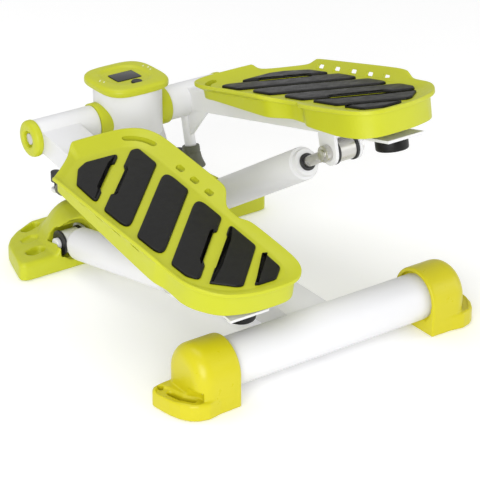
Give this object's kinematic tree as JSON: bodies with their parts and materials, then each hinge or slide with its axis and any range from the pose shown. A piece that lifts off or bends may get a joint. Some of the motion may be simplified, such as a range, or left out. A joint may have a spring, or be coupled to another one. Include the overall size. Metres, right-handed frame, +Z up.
{
  "type": "stepper",
  "caption": "Mini stepper with foot pedals hinged on a cross shaft, hydraulic cylinders, rear floor tube with end caps, front base cover and a small display console.",
  "frame": {"origin": "middle of the footprint on the floor", "axes": "+X to the right of a person standing on it, +Y towards their toes and the console, +Z up"},
  "size_m": [0.3834, 0.4516, 0.2635],
  "materials": {
    "white_frame": "satin powder coat",
    "lime_plastic": "satin moulded",
    "zinc_steel": "zinc plated",
    "black_plastic": "moulded",
    "pad_rubber": "matte",
    "boot_rubber": "matte",
    "display_glass": "clear",
    "display_dark": "dark segment display",
    "board_green": "solder mask",
    "battery_sleeve": "printed sleeve",
    "nylon": "self coloured"
  },
  "bodies": {
    "base": {"rear_tube": "white_frame", "main_tube": "white_frame", "front_cross_tube": "white_frame", "upright": "white_frame", "post_housing": "white_frame", "lower_brackets": "white_frame", "lower_bolts": "white_frame", "rocker_bracket": "white_frame", "saddle_rings": "lime_plastic", "end_caps": "lime_plastic", "front_cover": "lime_plastic", "console_bezel": "lime_plastic", "pivot_shaft": "zinc_steel", "end_bolts": "zinc_steel", "rocker_bolt": "zinc_steel", "display_lens": "display_glass", "display_panel": "display_dark", "circuit_board": "board_green", "battery": "battery_sleeve", "rear_cap_left": "lime_plastic", "rear_cap_right": "lime_plastic"},
    "rocker": {"rocker_beam": "white_frame", "rocker_rollers": "black_plastic"},
    "button": {"console_button": "black_plastic"},
    "left_pedal": {"sleeve_left": "white_frame", "sleeve_bushes_left": "nylon", "arm_left": "white_frame", "arm_plug_left": "black_plastic", "bumper_left": "pad_rubber", "lever_left": "white_frame", "lever_boot_left": "boot_rubber", "pedal_left": "lime_plastic", "pedal_screws_left": "zinc_steel", "pads_left": "pad_rubber", "upper_bracket_left": "white_frame", "upper_bolt_left": "zinc_steel"},
    "left_barrel": {"barrel_left": "white_frame", "lower_bushes_left": "black_plastic", "gland_seal_left": "black_plastic"},
    "left_rod": {"rod_left": "zinc_steel", "upper_bushes_left": "black_plastic"},
    "right_pedal": {"sleeve_right": "white_frame", "sleeve_bushes_right": "nylon", "arm_right": "white_frame", "arm_plug_right": "black_plastic", "bumper_right": "pad_rubber", "lever_right": "white_frame", "lever_boot_right": "boot_rubber", "pedal_right": "lime_plastic", "pedal_screws_right": "zinc_steel", "pads_right": "pad_rubber", "upper_bracket_right": "white_frame", "upper_bolt_right": "zinc_steel"},
    "right_barrel": {"barrel_right": "white_frame", "lower_bushes_right": "black_plastic", "gland_seal_right": "black_plastic"},
    "right_rod": {"rod_right": "zinc_steel", "upper_bushes_right": "black_plastic"}
  },
  "joints": [
    {"name": "left_pedal_pivot", "type": "hinge", "parent": "base", "child": "left_pedal", "pos_m": [0, 0.16915, 0.147], "axis": [1, 0, 0], "range_deg": [-21.6, 0]},
    {"name": "right_pedal_pivot", "type": "hinge", "parent": "base", "child": "right_pedal", "pos_m": [0, 0.16915, 0.147], "axis": [1, 0, 0], "range_deg": [0, 21.61]},
    {"name": "left_cylinder_pivot", "type": "hinge", "parent": "base", "child": "left_barrel", "pos_m": [0, 0.14415, 0.027], "axis": [1, 0, 0], "range_deg": [-20.11, 0]},
    {"name": "left_rod_slide", "type": "slide", "parent": "left_barrel", "child": "left_rod", "axis": [0, -0.9792, 0.203], "range_m": [0, 0.04584]},
    {"name": "right_cylinder_pivot", "type": "hinge", "parent": "base", "child": "right_barrel", "pos_m": [0, 0.14415, 0.027], "axis": [1, 0, 0], "range_deg": [0, 19.57]},
    {"name": "right_rod_slide", "type": "slide", "parent": "right_barrel", "child": "right_rod", "axis": [0, -0.8521, 0.5234], "range_m": [-0.04455, 0]},
    {"name": "rocker_pivot", "type": "hinge", "parent": "base", "child": "rocker", "pos_m": [0, 0.20715, 0.061], "axis": [0, 0, 1], "range_deg": [0, 21.23]},
    {"name": "button_press", "type": "slide", "parent": "base", "child": "button", "axis": [0, 0, -1], "range_m": [0, 0.0012], "stiffness_N_per_m": 400}
  ],
  "couplings": [
    {"joint": "right_pedal_pivot", "follows": "left_pedal_pivot", "ratio": -1},
    {"joint": "left_cylinder_pivot", "follows": "left_pedal_pivot", "ratio": 0.93},
    {"joint": "left_rod_slide", "follows": "left_pedal_pivot", "m_per_rad": -0.12147},
    {"joint": "right_cylinder_pivot", "follows": "left_pedal_pivot", "ratio": -0.905},
    {"joint": "right_rod_slide", "follows": "left_pedal_pivot", "m_per_rad": 0.11803},
    {"joint": "rocker_pivot", "follows": "left_pedal_pivot", "ratio": -0.9818}
  ]
}
